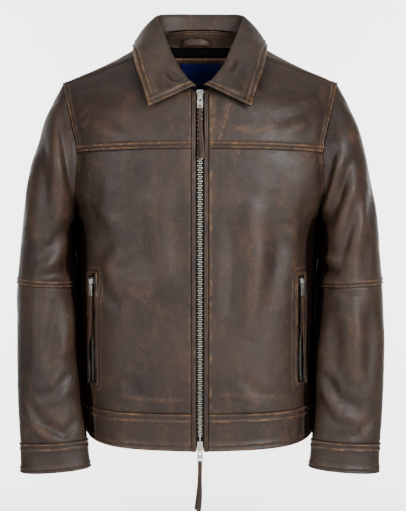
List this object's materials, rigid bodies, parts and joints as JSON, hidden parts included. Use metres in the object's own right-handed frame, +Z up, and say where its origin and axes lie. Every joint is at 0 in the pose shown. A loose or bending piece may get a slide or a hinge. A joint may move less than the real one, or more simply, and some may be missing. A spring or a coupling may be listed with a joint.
{
  "type": "leather jacket",
  "caption": "Worn dark leather jacket with a shirt collar, front yokes, a zip front, zipped side pockets, elbow seams, cuffs and a hem band, filled out as if worn.",
  "frame": {"origin": "between the neck ends of the two shoulder ridges, where the wearer's shoulders carry the jacket", "axes": "+X towards the viewer's right, -Y out of the front, +Z up from the hem to the collar"},
  "size_m": [0.6356, 0.261, 0.8513],
  "materials": {
    "leather": "dark brown, waxed and rubbed pale at seams and folds, satin",
    "worn_leather": "dark face with raw tan edges",
    "nickel": "bright nickel, lightly worn",
    "zip_tape": "black woven tape, matt",
    "lining": "black satin weave",
    "label": "plain blue woven cloth"
  },
  "bodies": {
    "jacket": {"yoke_left": "leather", "front_left": "leather", "hem_band_front_left": "leather", "placket_left": "leather", "sleeve_upper_left": "leather", "sleeve_lower_left": "leather", "cuff_left": "leather", "pocket_welt_left": "leather", "zip_tape_left": "zip_tape", "pocket_tape_left": "zip_tape", "zip_teeth_left": "nickel", "pocket_teeth_left": "nickel", "pocket_left_slider": "nickel", "yoke_right": "leather", "front_right": "leather", "hem_band_front_right": "leather", "placket_right": "leather", "sleeve_upper_right": "leather", "sleeve_lower_right": "leather", "cuff_right": "leather", "pocket_welt_right": "leather", "zip_tape_right": "zip_tape", "pocket_tape_right": "zip_tape", "zip_teeth_right": "nickel", "pocket_teeth_right": "nickel", "pocket_right_slider": "nickel", "back": "leather", "hem_band_back": "leather", "collar": "leather", "neck_facing": "leather", "label_patch": "leather", "hanging_loop": "leather", "back_lining": "lining", "label": "label", "zip_top_slider": "nickel", "zip_bottom_slider": "nickel"},
    "zip_top_pull": {"zip_top_pull_tab": "nickel", "zip_top_leather_pull": "worn_leather"},
    "zip_bottom_pull": {"zip_bottom_pull_tab": "nickel", "zip_bottom_leather_pull": "worn_leather"},
    "pocket_left_pull": {"pocket_left_pull_tab": "nickel", "pocket_left_leather_pull": "worn_leather"},
    "pocket_right_pull": {"pocket_right_pull_tab": "nickel", "pocket_right_leather_pull": "worn_leather"}
  },
  "joints": [
    {"name": "zip_top_pull_swing", "type": "hinge", "parent": "jacket", "child": "zip_top_pull", "pos_m": [0, -0.11413, -0.09376], "axis": [-1, 0, 0], "range_deg": [0, 150]},
    {"name": "zip_bottom_pull_swing", "type": "hinge", "parent": "jacket", "child": "zip_bottom_pull", "pos_m": [0, -0.12482, -0.68149], "axis": [-1, 0, 0], "range_deg": [0, 150]},
    {"name": "pocket_left_pull_swing", "type": "hinge", "parent": "jacket", "child": "pocket_left_pull", "pos_m": [-0.1858, -0.07772, -0.40518], "axis": [-0.5354, 0.8423, 0.0618], "range_deg": [0, 150]},
    {"name": "pocket_right_pull_swing", "type": "hinge", "parent": "jacket", "child": "pocket_right_pull", "pos_m": [0.17381, -0.07772, -0.40518], "axis": [-0.5354, -0.8423, -0.0618], "range_deg": [0, 150]}
  ]
}
